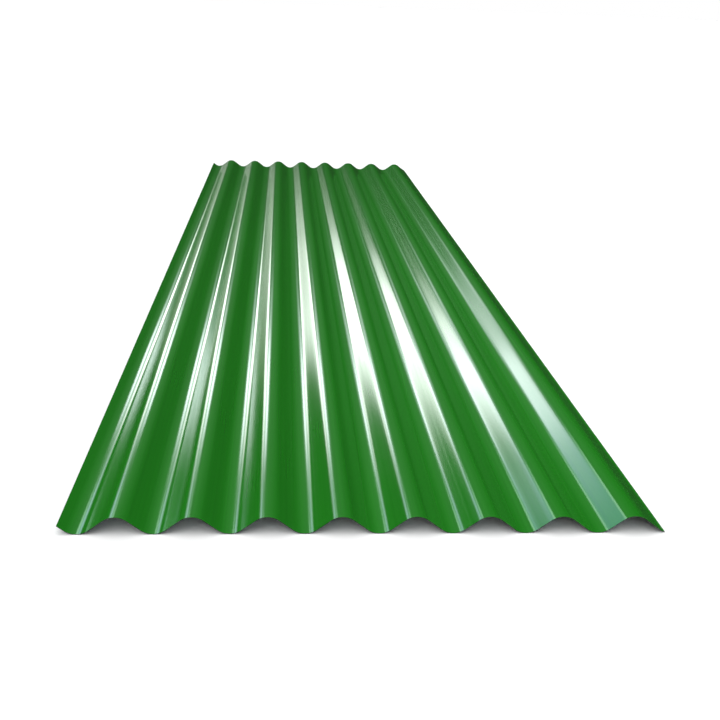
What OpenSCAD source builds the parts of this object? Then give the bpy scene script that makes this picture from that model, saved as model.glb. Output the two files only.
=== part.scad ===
// Corrugated metal sheet: one length of roll-formed, colour-coated steel.
// X runs across the waves, Y along them, and Z is up.
// The origin is under the middle of the sheet, level with the undersides of the valleys.

/* [Sheet] */
// Length along the waves
sheet_length = 2440; // [600:10:6000]
// Thickness of the coated steel
gauge = 0.5; // [0.3:0.05:1]

/* [Waves] */
// Number of whole crests across the sheet
crest_count = 8; // [2:1:14]
// Distance from one crest to the next
pitch = 76.2; // [68:0.1:100]
// Overall depth, from the underside of a valley to the top of a crest
depth = 19; // [16:0.5:24]
// Steepness of the straight flank between two bends, as rise over run
flank_slope = 0.75; // [0.6:0.05:1.1]

/* [Side edges] */
// Reach of the up-turned left edge, from the middle of the first valley
left_reach = 19.05; // [12:0.05:30]
// Reach of the down-turned right edge, from the middle of the last crest
right_reach = 33; // [12:0.5:37]

/* [Hidden] */
$fn = 96;

half_pitch = pitch / 2;
flank_angle = atan(flank_slope);

// Middle-line bend radius at which two equal bends and a flank of that slope fill half a wave
bend_radius = (half_pitch * flank_slope - depth + gauge) / (1 / cos(flank_angle) - 1) / 2;
outer_radius = bend_radius + gauge / 2;
inner_radius = bend_radius - gauge / 2;
bend_run = bend_radius * sin(flank_angle);
bend_rise = bend_radius * (1 - cos(flank_angle));

// Heights of the axes that the crests and the valleys are bent around
crest_axis_z = depth - outer_radius;
valley_axis_z = outer_radius;

// Waves from a spare crest on the left to a spare one on the right, with the first valley at x = 0
valley_xs = [for (i = [0:crest_count]) i * pitch];
crest_xs = [for (i = [0:crest_count + 1]) i * pitch - half_pitch];
last_crest_x = crest_xs[crest_count];

// Tilt of the middle line at a distance u from the middle of a bend, up to half a wave
function tilt(u) =
    u < bend_run ? asin(u / bend_radius) :
    u < half_pitch - bend_run ? flank_angle :
    asin((half_pitch - u) / bend_radius);

// How far the middle line has risen from a valley, or fallen from a crest, at that distance
function rise(u) =
    u < bend_run ? bend_radius * (1 - cos(tilt(u))) :
    u < half_pitch - bend_run ? bend_rise + (u - bend_run) * flank_slope :
    depth - gauge - bend_radius * (1 - cos(tilt(u)));

// Middle of each side edge, and the direction through the metal there
left_edge = [-left_reach, gauge / 2 + rise(left_reach)];
right_edge = [last_crest_x + right_reach, depth - gauge / 2 - rise(right_reach)];
left_through = [sin(tilt(left_reach)), cos(tilt(left_reach))];
right_through = [sin(tilt(right_reach)), cos(tilt(right_reach))];

// Outermost corners of the side edges
left_x = left_edge.x - gauge / 2 * left_through.x;
right_x = right_edge.x + gauge / 2 * right_through.x;
middle_x = (left_x + right_x) / 2;

// The two lines where a bend of radius r, around x, runs into its straight flanks
function crest_ends(x, r) =
    [for (side = [-1, 1]) [x + side * r * sin(flank_angle), crest_axis_z + r * cos(flank_angle)]];
function valley_ends(x, r) =
    [for (side = [-1, 1]) [x + side * r * sin(flank_angle), valley_axis_z - r * cos(flank_angle)]];

// All that lies below one face of the sheet: a zigzag of flanks, filled out by round crests
// and hollowed by round valleys
module below_face(crest_r, valley_r) {
    base_z = -2 * outer_radius;
    zigzag = [for (i = [0:crest_count]) each
        concat(crest_ends(crest_xs[i], crest_r), valley_ends(valley_xs[i], valley_r))];
    last_ends = crest_ends(crest_xs[crest_count + 1], crest_r);
    difference() {
        union() {
            linear_extrude(sheet_length)
                polygon(concat(
                    [[zigzag[0].x, base_z]],
                    zigzag,
                    last_ends,
                    [[last_ends[1].x, base_z]]
                ));
            for (x = crest_xs)
                translate([x, crest_axis_z, 0])
                    cylinder(r = crest_r, h = sheet_length);
        }
        for (x = valley_xs)
            translate([x, valley_axis_z, 0])
                cylinder(r = valley_r, h = sheet_length);
    }
}

// What is kept between the side edges, each of them cut square to the metal
module trim_window() {
    reach = 1.5 * depth;
    linear_extrude(sheet_length)
        polygon([
            left_edge - reach * left_through,
            left_edge + reach * left_through,
            right_edge + reach * right_through,
            right_edge - reach * right_through
        ]);
}

module corrugated_sheet() {
    color([0.1, 0.4, 0.09])
        translate([-middle_x, sheet_length / 2, 0])
            rotate([90, 0, 0])
                intersection() {
                    difference() {
                        below_face(crest_r = outer_radius, valley_r = inner_radius);
                        below_face(crest_r = inner_radius, valley_r = outer_radius);
                    }
                    trim_window();
                }
}

corrugated_sheet();
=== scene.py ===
"""Looks of a corrugated metal sheet: green gloss top coat, grey backing coat and dull cut edges.

Lengths are in metres, in the row frame: X across the waves, Y along them, Z up.
"""
import math

import bpy
import numpy as np
from mathutils import Matrix, Vector


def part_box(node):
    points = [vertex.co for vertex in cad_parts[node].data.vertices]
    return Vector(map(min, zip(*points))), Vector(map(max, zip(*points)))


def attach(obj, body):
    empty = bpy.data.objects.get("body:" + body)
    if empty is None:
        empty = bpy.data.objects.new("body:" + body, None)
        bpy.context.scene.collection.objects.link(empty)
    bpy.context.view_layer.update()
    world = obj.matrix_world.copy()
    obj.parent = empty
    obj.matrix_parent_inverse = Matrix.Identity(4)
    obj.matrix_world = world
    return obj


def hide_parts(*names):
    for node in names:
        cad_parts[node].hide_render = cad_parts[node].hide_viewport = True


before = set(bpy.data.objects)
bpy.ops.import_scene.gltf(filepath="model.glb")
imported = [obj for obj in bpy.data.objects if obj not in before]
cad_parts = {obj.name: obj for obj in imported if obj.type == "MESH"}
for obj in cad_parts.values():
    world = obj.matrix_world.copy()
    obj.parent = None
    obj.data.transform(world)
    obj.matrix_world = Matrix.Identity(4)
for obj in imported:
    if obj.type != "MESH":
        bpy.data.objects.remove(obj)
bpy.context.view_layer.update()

NODE = "corrugated_sheet"
SHEET_LOW, SHEET_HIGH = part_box(NODE)

# Section of the sheet, as it is rolled
PITCH = 0.0762
DEPTH = 0.019
GAUGE = 0.0005
CRESTS = 8
FLANK_SLOPE = 0.75
LEFT_REACH = 0.01905
RIGHT_REACH = 0.033

# Worked out from the section, as two equal bends and one straight flank to half a wave
HALF_PITCH = PITCH / 2
FLANK_ANGLE = math.atan(FLANK_SLOPE)
BEND_RADIUS = (HALF_PITCH * FLANK_SLOPE - DEPTH + GAUGE) / (1 / math.cos(FLANK_ANGLE) - 1) / 2
CREST_AXIS = DEPTH - GAUGE / 2 - BEND_RADIUS
VALLEY_AXIS = GAUGE / 2 + BEND_RADIUS

# Long, shallow waves in the rolled sheet: height, turn along Y and along X in radians a metre, and phase
RIPPLES = (
    (0.00010, 5.1, 9.0, 0.4),
    (0.00006, 11.7, -31.0, 1.9),
    (0.00003, 23.3, 57.0, 4.2),
)

# Fineness of the mesh, and the angle in degrees from which an edge of it is sharp
BEND_STEPS = 18
FLANK_STEPS = 4
LENGTH_STEPS = 90
SHARP_ANGLE = 50

# Material numbers on the mesh
TOP, UNDERSIDE, CUT_EDGE = range(3)

# Where each side of the sheet lies on its map: first u, last u, first v, last v
TOP_MAP = (0.01, 0.48, 0.01, 0.94)
UNDERSIDE_MAP = (0.52, 0.99, 0.01, 0.94)
LEFT_EDGE_MAP = (0.487, 0.493, 0.01, 0.94)
RIGHT_EDGE_MAP = (0.507, 0.513, 0.01, 0.94)
FRONT_EDGE_MAP = (0.01, 0.99, 0.955, 0.961)
BACK_EDGE_MAP = (0.01, 0.99, 0.979, 0.985)


def bend_points(number, first, last):
    """Middle line of one bend, from tilt first to last: rows of x, z and the metal's tilt.

    Bends are numbered from the first valley, at x = 0, so odd numbers are crests.
    """
    turn = np.linspace(first, last, BEND_STEPS + 1)
    x = number * HALF_PITCH + BEND_RADIUS * np.sin(turn)
    if number % 2:
        return np.stack([x, CREST_AXIS + BEND_RADIUS * np.cos(turn), -turn], 1)
    return np.stack([x, VALLEY_AXIS - BEND_RADIUS * np.cos(turn), turn], 1)


def flank_points(start, end):
    """Middle line of the straight flank between two points, without those points."""
    share = np.linspace(0, 1, FLANK_STEPS + 1)[1:-1, None]
    return start + (end - start) * share


def middle_line():
    """Middle line of the whole section, from the up-turned left edge to the down-turned right one."""
    last_bend = 2 * CRESTS
    bends = [bend_points(n, -FLANK_ANGLE, FLANK_ANGLE) for n in range(last_bend)]
    lip_turn = -math.asin((HALF_PITCH - RIGHT_REACH) / BEND_RADIUS)
    bends.append(bend_points(last_bend, -FLANK_ANGLE, lip_turn))

    start = bends[0][0]
    run = LEFT_REACH + start[0]
    left_edge = start + np.array([-run, run * FLANK_SLOPE, 0])
    rows = [left_edge[None], flank_points(left_edge, start)]
    for bend, after in zip(bends, bends[1:]):
        rows += [bend, flank_points(bend[-1], after[0])]
    rows.append(bends[-1])
    return np.concatenate(rows)


def lift(x, y):
    """Height by which the rolled sheet rises off its ideal form at a point."""
    return sum(
        height * (1 + np.sin(along * y + across * x + phase))
        for height, along, across, phase in RIPPLES
    )


def side_points(side):
    """Points of the top (side 1) or the underside (side -1), as rows along Y of columns along X."""
    x, z, tilt = middle_line().T
    y = np.linspace(SHEET_LOW[1], SHEET_HIGH[1], LENGTH_STEPS + 1)[:, None]
    half = side * GAUGE / 2
    columns = np.broadcast_arrays(
        x - half * np.sin(tilt),
        y,
        z + half * np.cos(tilt) + lift(x, y),
    )
    return np.stack(columns, 2)


def quads(numbers, material, place):
    """Faces of a grid of vertex numbers, their material numbers and their corners on the map."""

    def corners(grid):
        return np.stack([grid[:-1, :-1], grid[:-1, 1:], grid[1:, 1:], grid[1:, :-1]], 2)

    rows, columns = numbers.shape
    u, v = np.meshgrid(np.linspace(*place[:2], columns), np.linspace(*place[2:], rows))
    faces = corners(numbers).reshape(-1, 4)
    on_map = np.stack([corners(u), corners(v)], 3).reshape(-1, 2)
    return faces, np.full(len(faces), material), on_map


def sheet_mesh():
    """The sheet as one closed mesh."""
    points = np.stack([side_points(1), side_points(-1)])
    x = points[..., 0]
    x += (SHEET_LOW[0] + SHEET_HIGH[0] - x.min() - x.max()) / 2
    top, under = np.arange(x.size).reshape(x.shape)

    patches = [
        quads(top, TOP, TOP_MAP),
        quads(under[:, ::-1], UNDERSIDE, UNDERSIDE_MAP),
        quads(np.stack([under[0], top[0]]), CUT_EDGE, FRONT_EDGE_MAP),
        quads(np.stack([top[-1], under[-1]]), CUT_EDGE, BACK_EDGE_MAP),
        quads(np.stack([under[:, 0], top[:, 0]], 1), CUT_EDGE, LEFT_EDGE_MAP),
        quads(np.stack([top[:, -1], under[:, -1]], 1), CUT_EDGE, RIGHT_EDGE_MAP),
    ]
    faces, materials, on_map = (np.concatenate(part) for part in zip(*patches))

    mesh = bpy.data.meshes.new("corrugated_sheet_skin")
    mesh.from_pydata(points.reshape(-1, 3).tolist(), [], faces.tolist())
    mesh.polygons.foreach_set("material_index", materials.astype(np.int32))
    mesh.polygons.foreach_set("use_smooth", np.ones(len(faces), bool))
    mesh.uv_layers.new(name="OFBake").uv.foreach_set("vector", on_map.astype(np.float32).ravel())
    mesh.set_sharp_from_angle(angle=math.radians(SHARP_ANGLE))
    mesh.validate()
    return mesh


# Colour sockets of the Mix node, which share their names with its other sockets
MIX_FIRST, MIX_SECOND, MIX_RESULT = 6, 7, 2


def new_material(name):
    """A material with a Principled shader: the material, its node tree and that shader."""
    material = bpy.data.materials.new(name)
    material.use_nodes = True
    return material, material.node_tree, material.node_tree.nodes["Principled BSDF"]


def add(tree, kind, inputs, **settings):
    """A new node with these settings, and these values or links on its inputs."""
    node = tree.nodes.new(kind)
    for key, value in settings.items():
        setattr(node, key, value)
    for key, value in inputs.items():
        if isinstance(value, bpy.types.NodeSocket):
            tree.links.new(value, node.inputs[key])
        else:
            node.inputs[key].default_value = value
    return node


def stretched_noise(tree, stretch, detail, seed):
    """Noise whose features per metre along X, Y and Z are given by stretch."""
    place = add(tree, "ShaderNodeTexCoord", {})
    scaled = add(tree, "ShaderNodeMapping", {
        "Vector": place.outputs["Object"],
        "Location": (seed, seed, seed),
        "Scale": stretch,
    })
    return add(tree, "ShaderNodeTexNoise", {
        "Vector": scaled.outputs["Vector"],
        "Scale": 1.0,
        "Detail": detail,
    }).outputs["Fac"]


def ramp(tree, value, low, high, start, end, kind="LINEAR"):
    """value mapped from the span low..high to start..end."""
    return add(tree, "ShaderNodeMapRange", {
        "Value": value,
        "From Min": low,
        "From Max": high,
        "To Min": start,
        "To Max": end,
    }, interpolation_type=kind).outputs["Result"]


def math_node(tree, operation, *values):
    return add(tree, "ShaderNodeMath", dict(enumerate(values)), operation=operation).outputs["Value"]


def vector_node(tree, operation, *values):
    return add(tree, "ShaderNodeVectorMath", dict(enumerate(values)), operation=operation).outputs


def mix_colours(tree, share, first, second):
    """The first colour at share 0, the second at share 1, and a blend between."""
    inputs = {"Factor": share, MIX_FIRST: first, MIX_SECOND: second}
    return add(tree, "ShaderNodeMix", inputs, data_type="RGBA").outputs[MIX_RESULT]


def mean_noise(tree, first, second):
    """The mean of two noises, spread to the full span 0..1."""
    return ramp(tree, math_node(tree, "ADD", first, second), *NOISE_SUM_SPAN, 0, 1)


def emboss(tree, shader, height, relief):
    """Bumps on a shader, as high as relief where the height is 1."""
    bump = add(tree, "ShaderNodeBump", {"Height": height, "Strength": 1.0, "Distance": relief})
    tree.links.new(bump.outputs["Normal"], shader.inputs["Normal"])


# Spans taken as the whole range of a noise, of the cut edges' grain and of the sum of two noises
NOISE_SPAN = (0.25, 0.75)
GRAIN_SPAN = (0.3, 0.7)
NOISE_SUM_SPAN = (0.6, 1.4)

# Gloss paint on the top. The tones are red, green, blue and alpha.
PAINT_TONES = ((0.0095, 0.147, 0.0075, 1), (0.0122, 0.178, 0.0093, 1))
PAINT_ROUGHNESS = (0.10, 0.15)
PAINT_IOR = 1.4
PAINT_RELIEF = 0.000005

# Satin coat on the underside
BACKING_TONES = ((0.30, 0.31, 0.30, 1), (0.40, 0.41, 0.39, 1))
BACKING_ROUGHNESS = (0.38, 0.52)
BACKING_RELIEF = 0.00002

# Bare metal of the cut edges, its tones kept far darker than bare steel as painted shade
EDGE_TONES_WITH_PAINTED_SHADE = ((0.035, 0.050, 0.035, 1), (0.085, 0.100, 0.085, 1))
EDGE_ROUGHNESS = (0.45, 0.65)
EDGE_METALLIC = 0.5


def top_coat():
    """Gloss green paint, with the faint lengthwise lines that rolling leaves in it."""
    material, tree, shader = new_material("green_top_coat")
    lines = stretched_noise(tree, stretch=(420, 0.8, 420), detail=2, seed=3.7)
    tone = stretched_noise(tree, stretch=(40, 1.6, 40), detail=3, seed=11.2)
    colour = mix_colours(tree, mean_noise(tree, lines, tone), *PAINT_TONES)
    tree.links.new(colour, shader.inputs["Base Color"])
    tree.links.new(ramp(tree, lines, *NOISE_SPAN, *PAINT_ROUGHNESS), shader.inputs["Roughness"])
    shader.inputs["IOR"].default_value = PAINT_IOR
    emboss(tree, shader, lines, PAINT_RELIEF)
    return material


def backing_coat():
    """Thin satin grey coat on the underside."""
    material, tree, shader = new_material("grey_backing_coat")
    lines = stretched_noise(tree, stretch=(300, 1.5, 300), detail=4, seed=21.3)
    tone = stretched_noise(tree, stretch=(9, 3, 9), detail=4, seed=5.1)
    colour = mix_colours(tree, mean_noise(tree, lines, tone), *BACKING_TONES)
    tree.links.new(colour, shader.inputs["Base Color"])
    tree.links.new(ramp(tree, lines, *NOISE_SPAN, *BACKING_ROUGHNESS), shader.inputs["Roughness"])
    emboss(tree, shader, lines, BACKING_RELIEF)
    return material


def cut_edge():
    """Sheared steel, dulled, its colour darkened far below bare steel as painted shade."""
    material, tree, shader = new_material("sheared_steel_edge")
    grain = stretched_noise(tree, stretch=(2500, 2500, 900), detail=3, seed=14.6)
    # The dark edge tones are painted shade, not the steel's own colour
    colour = mix_colours(tree, ramp(tree, grain, *GRAIN_SPAN, 0, 1), *EDGE_TONES_WITH_PAINTED_SHADE)
    tree.links.new(colour, shader.inputs["Base Color"])
    tree.links.new(ramp(tree, grain, *GRAIN_SPAN, *EDGE_ROUGHNESS), shader.inputs["Roughness"])
    shader.inputs["Metallic"].default_value = EDGE_METALLIC
    return material


def build_sheet():
    mesh = sheet_mesh()
    for material in (top_coat(), backing_coat(), cut_edge()):
        mesh.materials.append(material)
    sheet = bpy.data.objects.new("corrugated_sheet_skin", mesh)
    bpy.context.collection.objects.link(sheet)
    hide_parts(NODE)
    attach(sheet, "root")


# Studio floor: half its side, and its tones
FLOOR_HALF = 400.0
FLOOR_TONES = ((0.85, 0.85, 0.85, 1), (0.87, 0.87, 0.87, 1))


def build_floor():
    corners = [(-1, -1), (1, -1), (1, 1), (-1, 1)]
    mesh = bpy.data.meshes.new("studio_floor")
    mesh.from_pydata([(FLOOR_HALF * x, FLOOR_HALF * y, 0) for x, y in corners], [], [(0, 1, 2, 3)])
    material, tree, shader = new_material("pale_floor")
    tone = stretched_noise(tree, stretch=(0.7, 0.7, 0.7), detail=3, seed=2.2)
    tree.links.new(mix_colours(tree, tone, *FLOOR_TONES), shader.inputs["Base Color"])
    shader.inputs["Roughness"].default_value = 1.0
    shader.inputs["Specular IOR Level"].default_value = 0.0
    mesh.materials.append(material)
    floor = bpy.data.objects.new("studio_floor", mesh)
    floor.visible_glossy = False
    bpy.context.collection.objects.link(floor)


# Broad light from above, by its angle in degrees from an axis: ROOM_LIGHT outside the first edge,
# TOP_LIGHT inside the second. The camera sees BACKDROP_LIGHT instead.
TOP_LIGHT_AXIS = Vector((-0.27, -0.10, 1.0)).normalized()
TOP_LIGHT_EDGES = (58, 38)
TOP_LIGHT = 2.08
ROOM_LIGHT = 0.02
BACKDROP_LIGHT = (1.0, 1.0, 1.0, 1)

# Softboxes, far off. Azimuths run from +Y towards -X, and elevations up from the horizon, in degrees.
# A box's light comes in over the first two of each four, is full over the middle and is gone at the last.
# Azimuths hold at LEAN_ELEVATION. For each degree above it, the first two shift by the first lean and the
# last two by the second.
LEAN_ELEVATION = 13
UPRIGHT = (0.0, 0.0)
MAIN_BOX = {
    "azimuths": (11.8, 15.3, 17.3, 20.3),
    "leans": (0.3, 0.15),
    "elevations": (4, 9, 14.5, 20),
    "radiance": (7.4, 7.7, 7.5),
}
SIDE_BOX = {
    "azimuths": (15, 17.5, 21, 25),
    "leans": UPRIGHT,
    "elevations": (18, 21, 21.5, 26),
    "radiance": (2.0, 2.3, 2.6),
}
STRIP_BOX = {
    "azimuths": (11, 13, 17, 19.5),
    "leans": UPRIGHT,
    "elevations": (24.5, 27, 32, 36),
    "radiance": (3.4, 5.2, 4.2),
}
UPPER_BOX = {
    "azimuths": (16, 19, 23, 27),
    "leans": UPRIGHT,
    "elevations": (19.5, 23.5, 32, 38),
    "radiance": (1.2, 1.9, 2.6),
}
INNER_BOX = {
    "azimuths": (2, 10, 14, 16.5),
    "leans": UPRIGHT,
    "elevations": (12.5, 16, 19.5, 23.5),
    "radiance": (2.4, 2.6, 2.7),
}
FOOT_BOX = {
    "azimuths": (6, 12, 18, 22),
    "leans": UPRIGHT,
    "elevations": (-4, 1.5, 5, 8),
    "radiance": (0.65, 0.7, 0.62),
}
BROAD_BOX = {
    "azimuths": (-32, 8, 18, 24),
    "leans": UPRIGHT,
    "elevations": (6, 22, 40, 60),
    "radiance": (0.22, 0.23, 0.23),
}
SOFTBOXES = (MAIN_BOX, SIDE_BOX, STRIP_BOX, UPPER_BOX, INNER_BOX, FOOT_BOX, BROAD_BOX)

# Soft panel, for reflections alone. It hangs behind the far end on the left, and its top leans to the
# left by PANEL_LEAN degrees.
PANEL_PLACE = (-0.713, 2.2, 1.116)
PANEL_LEAN = 33
PANEL_WIDTH = 0.46
PANEL_HEIGHT = 0.74
PANEL_RADIANCE = (4.8, 5.2, 5.4)
# Widths of its soft edges, as shares of its width or height
PANEL_LEFT_EDGE = 0.35
PANEL_RIGHT_EDGE = 0.30
PANEL_TOP_EDGE = 0.46
PANEL_FOOT_EDGE = 0.31

# Soft fill along the right side, which shows in no reflection
FILL_PLACE = Vector((0.9, 0.1, 0.55))
FILL_TARGET = Vector((0.2, 0.1, 0.0))
FILL_WIDTH = 0.4
FILL_LENGTH = 2.6
FILL_WATTS = 5.5


def soft_step(tree, value, edges, start, end):
    """start before two edges in degrees, end after them, and a soft change between."""
    return ramp(tree, value, *(math.radians(edge) for edge in edges), start, end, "SMOOTHSTEP")


def box_share(tree, box, azimuth, elevation):
    """Share of a softbox's light that comes from a direction."""
    height = math_node(tree, "SUBTRACT", elevation, math.radians(LEAN_ELEVATION))
    inner, outer = (math_node(tree, "MULTIPLY_ADD", height, -lean, azimuth) for lean in box["leans"])
    share = soft_step(tree, inner, box["azimuths"][:2], 0, 1)
    for value, edges, start, end in (
        (outer, box["azimuths"][2:], 1, 0),
        (elevation, box["elevations"][:2], 0, 1),
        (elevation, box["elevations"][2:], 1, 0),
    ):
        share = math_node(tree, "MULTIPLY", share, soft_step(tree, value, edges, start, end))
    return share


def softbox_light(tree, x, y, z):
    """Sum of the softboxes' light from a direction. They stand again half a turn away."""
    half = math_node(tree, "SIGN", y)
    across = math_node(tree, "MULTIPLY", x, math_node(tree, "MULTIPLY", half, -1.0))
    azimuth = math_node(tree, "ARCTAN2", across, math_node(tree, "ABSOLUTE", y))
    elevation = math_node(tree, "ARCSINE", z)
    total = (0, 0, 0)
    for box in SOFTBOXES:
        share = box_share(tree, box, azimuth, elevation)
        total = vector_node(tree, "MULTIPLY_ADD", share, box["radiance"], total)["Vector"]
    return total


def build_world():
    """The softboxes and the light from above, before a white backdrop."""
    world = bpy.data.worlds.new("studio")
    bpy.context.scene.world = world
    world.use_nodes = True
    tree = world.node_tree
    ray = add(tree, "ShaderNodeTexCoord", {}).outputs["Generated"]
    x, y, z = add(tree, "ShaderNodeSeparateXYZ", {0: ray}).outputs
    facing = vector_node(tree, "DOT_PRODUCT", ray, TOP_LIGHT_AXIS)["Value"]
    edges = [math.cos(math.radians(edge)) for edge in TOP_LIGHT_EDGES]
    top = ramp(tree, facing, *edges, ROOM_LIGHT, TOP_LIGHT)
    studio = vector_node(tree, "ADD", top, softbox_light(tree, x, y, z))["Vector"]
    seen = add(tree, "ShaderNodeLightPath", {}).outputs["Is Camera Ray"]
    backdrop = mix_colours(tree, seen, studio, BACKDROP_LIGHT)
    tree.links.new(backdrop, tree.nodes["Background"].inputs["Color"])


def panel_light():
    """Light of the soft panel, which fades towards its edges."""
    light = bpy.data.lights.new("panel", "AREA")
    light.shape = "RECTANGLE"
    light.size = PANEL_WIDTH
    light.size_y = PANEL_HEIGHT
    # The power at which the colour of its emission is its radiance
    light.energy = 4 * PANEL_WIDTH * PANEL_HEIGHT
    light.use_nodes = True
    tree = light.node_tree
    place = add(tree, "ShaderNodeNewGeometry", {}).outputs["Parametric"]
    across, down, _ = add(tree, "ShaderNodeSeparateXYZ", {0: place}).outputs
    share = 1.0
    for value, low, high, start, end in (
        (across, 0, PANEL_LEFT_EDGE, 0, 1),
        (across, 1 - PANEL_RIGHT_EDGE, 1, 1, 0),
        (down, 0, PANEL_TOP_EDGE, 0, 1),
        (down, 1 - PANEL_FOOT_EDGE, 1, 1, 0),
    ):
        edge = ramp(tree, value, low, high, start, end, "SMOOTHSTEP")
        share = math_node(tree, "MULTIPLY", edge, share)
    colour = vector_node(tree, "MULTIPLY", PANEL_RADIANCE, share)["Vector"]
    tree.links.new(colour, tree.nodes["Emission"].inputs["Color"])
    return light


def build_panels():
    """The soft panel, and the same panel half a turn away."""
    light = panel_light()
    facing_sheet = (
        Matrix.Translation(PANEL_PLACE)
        @ Matrix.Rotation(math.radians(-PANEL_LEAN), 4, "Y")
        @ Matrix.Rotation(math.radians(-90), 4, "X")
    )
    for turn in (0, 180):
        panel = bpy.data.objects.new("panel", light)
        panel.matrix_world = Matrix.Rotation(math.radians(turn), 4, "Z") @ facing_sheet
        panel.visible_camera = False
        panel.visible_diffuse = False
        bpy.context.collection.objects.link(panel)


def build_fill():
    light = bpy.data.lights.new("fill", "AREA")
    light.shape = "RECTANGLE"
    light.size = FILL_LENGTH
    light.size_y = FILL_WIDTH
    light.energy = FILL_WATTS
    fill = bpy.data.objects.new("fill", light)
    fill.location = FILL_PLACE
    fill.rotation_euler = (FILL_TARGET - FILL_PLACE).to_track_quat("-Z", "Y").to_euler()
    fill.visible_camera = False
    fill.visible_glossy = False
    bpy.context.collection.objects.link(fill)


# Camera: its place, its turns in degrees down, to the right and about its own axis, and its focal length
CAMERA_PLACE = (-0.0914, -2.1366, 0.5089)
CAMERA_DOWN = 19.229
CAMERA_RIGHT = 4.789
CAMERA_ROLL = 2.142
IMAGE_PIXELS = 720
FOCAL_PIXELS = 1014.9
SENSOR_MILLIMETRES = 36.0


def build_camera():
    data = bpy.data.cameras.new("camera")
    data.sensor_width = SENSOR_MILLIMETRES
    data.lens = FOCAL_PIXELS * SENSOR_MILLIMETRES / IMAGE_PIXELS
    data.clip_end = 2 * FLOOR_HALF
    camera = bpy.data.objects.new("camera", data)
    turn = (
        Matrix.Rotation(math.radians(-CAMERA_RIGHT), 4, "Z")
        @ Matrix.Rotation(math.radians(90 - CAMERA_DOWN), 4, "X")
        @ Matrix.Rotation(math.radians(CAMERA_ROLL), 4, "Z")
    )
    camera.matrix_world = Matrix.Translation(CAMERA_PLACE) @ turn
    bpy.context.collection.objects.link(camera)
    bpy.context.scene.camera = camera


build_sheet()
build_floor()
build_world()
build_panels()
build_fill()
build_camera()
bpy.context.scene.view_settings.view_transform = "Standard"
